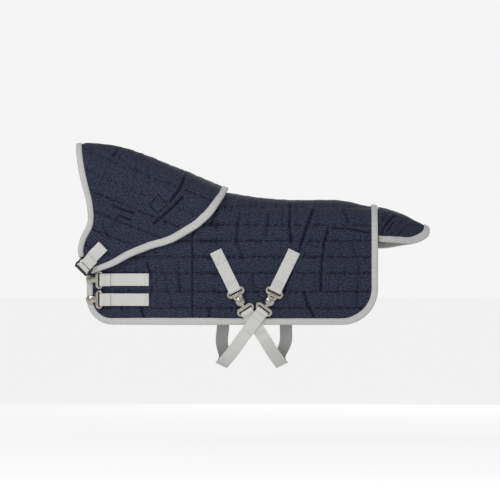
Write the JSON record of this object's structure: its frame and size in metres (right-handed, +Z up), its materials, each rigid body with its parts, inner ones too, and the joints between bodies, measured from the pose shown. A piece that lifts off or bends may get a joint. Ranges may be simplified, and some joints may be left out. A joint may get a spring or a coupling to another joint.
{
  "type": "quilted pony rug",
  "caption": "Quilted toy-pony rug with a neck cover and tail flap, chest and throat fastenings and crossed elastic belly straps on pressed metal clips.",
  "frame": {"origin": "on the inner face of the back seam, midway between the withers and the rear edge", "axes": "+X runs along the back to the tail, -Y to the near side, +Z up"},
  "size_m": [0.4317, 0.1225, 0.2739],
  "materials": {
    "shell": "quilted ripstop, navy",
    "wadding": "soft fibre filling",
    "lining": "smooth woven",
    "binding": "ribbed tape, light grey",
    "webbing": "woven webbing, light grey",
    "elastic": "ribbed elastic, light grey",
    "hook_patch": "hook-and-loop pile, navy",
    "nickel": "polished nickel plate",
    "plastic": "moulded, black"
  },
  "bodies": {
    "rug": {"body_shell_near": "shell", "body_shell_off": "shell", "body_wadding_near": "wadding", "body_wadding_off": "wadding", "body_lining_near": "lining", "body_lining_off": "lining", "body_binding_near": "binding", "body_binding_off": "binding", "chest_strap_upper_near": "webbing", "chest_strap_upper_off": "webbing", "chest_strap_lower_near": "webbing", "chest_strap_lower_off": "webbing", "surcingle_tab_front": "webbing", "surcingle_tab_rear": "webbing", "surcingle_underband_front": "elastic", "surcingle_underband_rear": "elastic"},
    "neck_cover": {"neck_shell_near": "shell", "neck_shell_off": "shell", "neck_wadding_near": "wadding", "neck_wadding_off": "wadding", "neck_lining_near": "lining", "neck_lining_off": "lining", "neck_front_binding_near": "binding", "neck_front_binding_off": "binding", "neck_rear_binding_near": "binding", "neck_rear_binding_off": "binding", "throat_slide": "plastic", "throat_hook_patch": "hook_patch", "throat_loop": "webbing"},
    "tail_flap": {"tail_flap_shell": "shell", "tail_flap_wadding": "wadding", "tail_flap_lining": "lining", "tail_flap_binding": "binding"},
    "throat_tab": {"throat_tab": "webbing"},
    "chest_dome_upper": {"chest_dome_plate_upper": "nickel"},
    "chest_stud_upper": {"chest_stud_plate_upper": "nickel"},
    "chest_dome_lower": {"chest_dome_plate_lower": "nickel"},
    "chest_stud_lower": {"chest_stud_plate_lower": "nickel"},
    "surcingle_dome_front": {"surcingle_dome_plate_front": "nickel"},
    "surcingle_hanger_front": {"surcingle_stud_plate_front": "nickel", "surcingle_elastic_front": "elastic"},
    "surcingle_dome_rear": {"surcingle_dome_plate_rear": "nickel"},
    "surcingle_hanger_rear": {"surcingle_stud_plate_rear": "nickel", "surcingle_elastic_rear": "elastic"}
  },
  "joints": [
    {"name": "neck_cover_lift", "type": "hinge", "parent": "rug", "child": "neck_cover", "pos_m": [-0.0895, 0, 0.0145], "axis": [0, 1, 0], "range_deg": [0, 60]},
    {"name": "tail_flap_lift", "type": "hinge", "parent": "rug", "child": "tail_flap", "pos_m": [0.0932, 0, -0.0039], "axis": [0, -1, 0], "range_deg": [0, 90]},
    {"name": "throat_tab_peel", "type": "hinge", "parent": "neck_cover", "child": "throat_tab", "pos_m": [-0.25924, -0.02864, -0.07304], "axis": [0.7069, 0.0213, -0.7069], "range_deg": [0, 130]},
    {"name": "chest_dome_upper_swing", "type": "hinge", "parent": "rug", "child": "chest_dome_upper", "pos_m": [-0.24178, -0.01817, -0.09262], "axis": [0, -0.0678, 0.9977], "range_deg": [0, 6]},
    {"name": "chest_stud_upper_swing", "type": "hinge", "parent": "rug", "child": "chest_stud_upper", "pos_m": [-0.24178, 0.01817, -0.09262], "axis": [0, -0.0678, -0.9977], "range_deg": [0, 6]},
    {"name": "chest_dome_lower_swing", "type": "hinge", "parent": "rug", "child": "chest_dome_lower", "pos_m": [-0.2418, -0.01749, -0.11664], "axis": [0, -0.0128, 0.9999], "range_deg": [0, 100]},
    {"name": "chest_stud_lower_swing", "type": "hinge", "parent": "rug", "child": "chest_stud_lower", "pos_m": [-0.2418, 0.01749, -0.11664], "axis": [0, -0.0128, -0.9999], "range_deg": [0, 100]},
    {"name": "surcingle_dome_front_open", "type": "hinge", "parent": "rug", "child": "surcingle_dome_front", "pos_m": [-0.08104, -0.05847, -0.10468], "axis": [-0.8986, 0.0222, -0.4383], "range_deg": [0, 100]},
    {"name": "surcingle_front_swivel", "type": "hinge", "parent": "rug", "child": "surcingle_hanger_front", "pos_m": [-0.07424, -0.05777, -0.11859], "axis": [0, 0.9987, 0.0506], "range_deg": [0, 11]},
    {"name": "surcingle_dome_rear_open", "type": "hinge", "parent": "rug", "child": "surcingle_dome_rear", "pos_m": [-0.03144, -0.05847, -0.10468], "axis": [-0.8986, -0.0222, 0.4383], "range_deg": [0, 100]},
    {"name": "surcingle_rear_swivel", "type": "hinge", "parent": "rug", "child": "surcingle_hanger_rear", "pos_m": [-0.03824, -0.05777, -0.11859], "axis": [0, -0.9987, -0.0506], "range_deg": [0, 11]}
  ]
}
